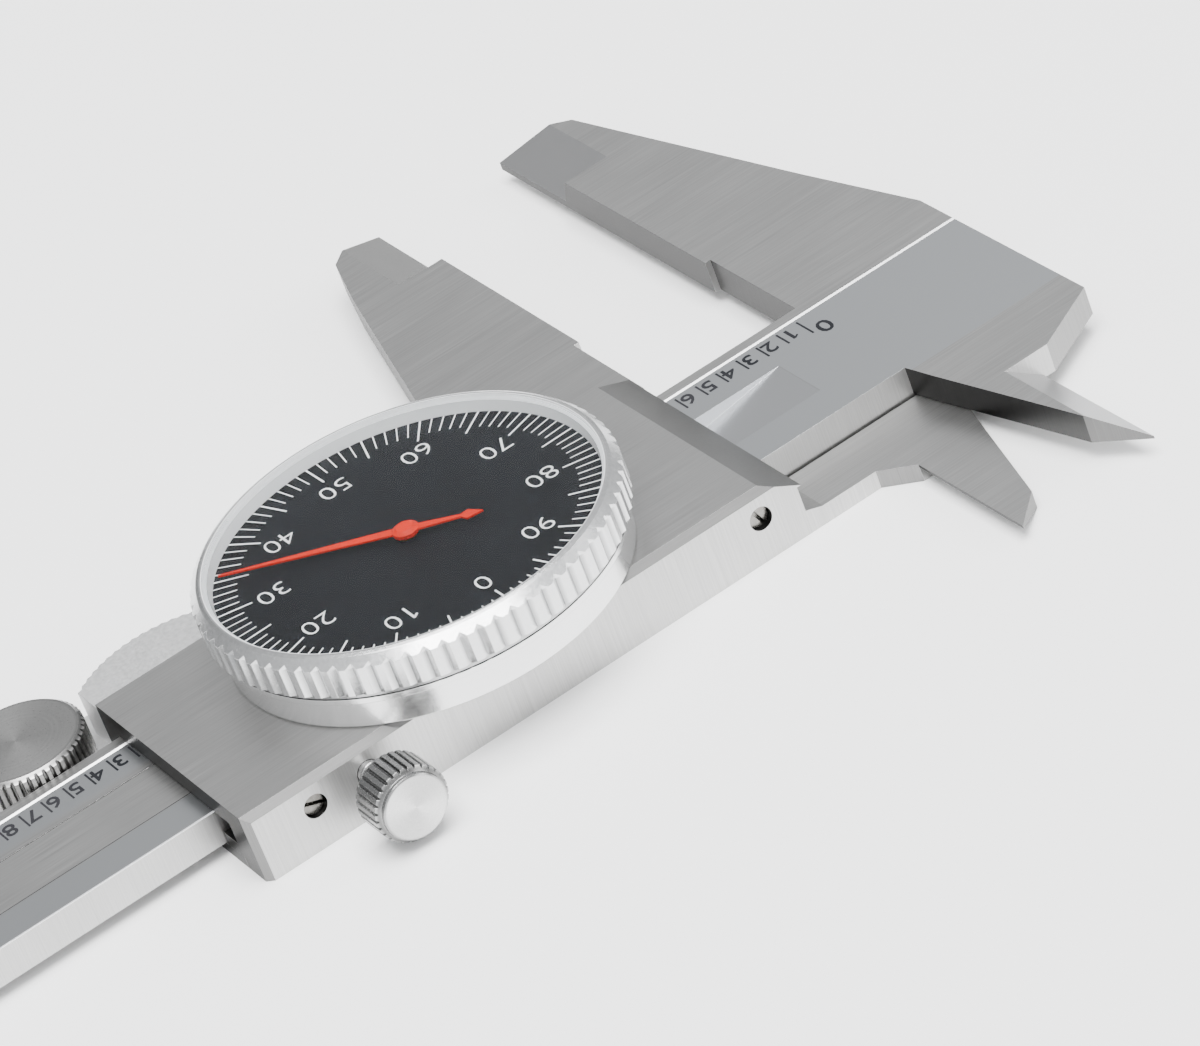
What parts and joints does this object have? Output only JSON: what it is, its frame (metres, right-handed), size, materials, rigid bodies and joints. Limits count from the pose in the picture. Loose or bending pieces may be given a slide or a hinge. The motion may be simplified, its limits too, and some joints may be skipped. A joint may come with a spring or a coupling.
{
  "type": "dial caliper",
  "caption": "Steel dial caliper with crossing inside jaws, outside jaws, a black dial with a red pointer in a fluted bezel, a thumb roller and a depth rod.",
  "frame": {"origin": "centre of the full-thickness part of the fixed outside jaw's measuring face, in the middle of the beam's thickness", "axes": "+X along the beam towards its tail, +Y towards the inside jaws, +Z out of the dial"},
  "size_m": [0.4219, 0.1092, 0.0165],
  "materials": {
    "brushed_stainless": "brushed",
    "satin_chrome": "satin",
    "polished_steel": "polished",
    "steel_screws": "satin",
    "spring_steel": "satin",
    "brass": "satin",
    "black_dial": "matt",
    "red_pointer": "satin",
    "clear_crystal": "clear"
  },
  "bodies": {
    "beam": {"beam_with_fixed_jaws": "brushed_stainless", "rack": "brushed_stainless", "end_stop": "brushed_stainless", "end_stop_screws": "steel_screws"},
    "slider": {"slider_frame_with_moving_jaws": "brushed_stainless", "back_cover": "brushed_stainless", "back_cover_screws": "steel_screws", "depth_rod": "polished_steel", "depth_rod_screws": "steel_screws", "gib": "brass", "gib_set_screws": "steel_screws", "thumb_rest": "polished_steel", "thumb_rest_screws": "steel_screws", "dial_base": "satin_chrome", "dial_base_screws": "steel_screws", "bezel_drag_ring": "spring_steel", "movement_bridge": "brass", "movement_bridge_screws": "steel_screws", "pivot_bushes": "brass", "hairspring": "spring_steel"},
    "rack_pinion_group": {"rack_pinion_arbor": "polished_steel", "drive_wheel": "brass"},
    "pointer_group": {"centre_pinion": "brass", "pointer": "red_pointer"},
    "return_wheel_group": {"return_wheel": "brass", "return_wheel_arbor": "polished_steel"},
    "bezel_group": {"bezel": "satin_chrome", "dial_face": "black_dial", "face_retaining_ring": "spring_steel", "crystal": "clear_crystal"},
    "roller_group": {"thumb_roller": "polished_steel", "roller_clip": "spring_steel"},
    "lock_screw_group": {"lock_screw": "polished_steel"}
  },
  "joints": [
    {"name": "slide", "type": "slide", "parent": "beam", "child": "slider", "axis": [1, 0, 0], "range_m": [-0.01613, 0.28867]},
    {"name": "rack_pinion_turn", "type": "hinge", "parent": "slider", "child": "rack_pinion_group", "pos_m": [0.04345, 0.0435, 0], "axis": [0, 0, 1], "range_deg": [-458, 8184]},
    {"name": "pointer_turn", "type": "hinge", "parent": "slider", "child": "pointer_group", "pos_m": [0.05065, 0.04324, 0], "axis": [0, 0, 1], "range_deg": [-40920, 2290]},
    {"name": "return_wheel_turn", "type": "hinge", "parent": "slider", "child": "return_wheel_group", "pos_m": [0.05784, 0.04298, 0], "axis": [0, 0, 1], "range_deg": [-458, 8184]},
    {"name": "bezel_turn", "type": "hinge", "parent": "slider", "child": "bezel_group", "pos_m": [0.05065, 0.04324, 0], "axis": [0, 0, 1], "continuous": true},
    {"name": "thumb_roller_turn", "type": "hinge", "parent": "slider", "child": "roller_group", "pos_m": [0.08965, 0.0245, 0], "axis": [0, 0, 1], "range_deg": [-132, 2348]},
    {"name": "lock_screw_turn", "type": "hinge", "parent": "slider", "child": "lock_screw_group", "pos_m": [0.06845, 0.0631, 0.00125], "axis": [0, 1, 0], "range_deg": [-108, 360]}
  ],
  "couplings": [
    {"joint": "rack_pinion_turn", "follows": "slide", "rad_per_m": 494.74},
    {"joint": "pointer_turn", "follows": "slide", "rad_per_m": -2473.7},
    {"joint": "return_wheel_turn", "follows": "slide", "rad_per_m": 494.74},
    {"joint": "thumb_roller_turn", "follows": "slide", "rad_per_m": 141.84}
  ]
}
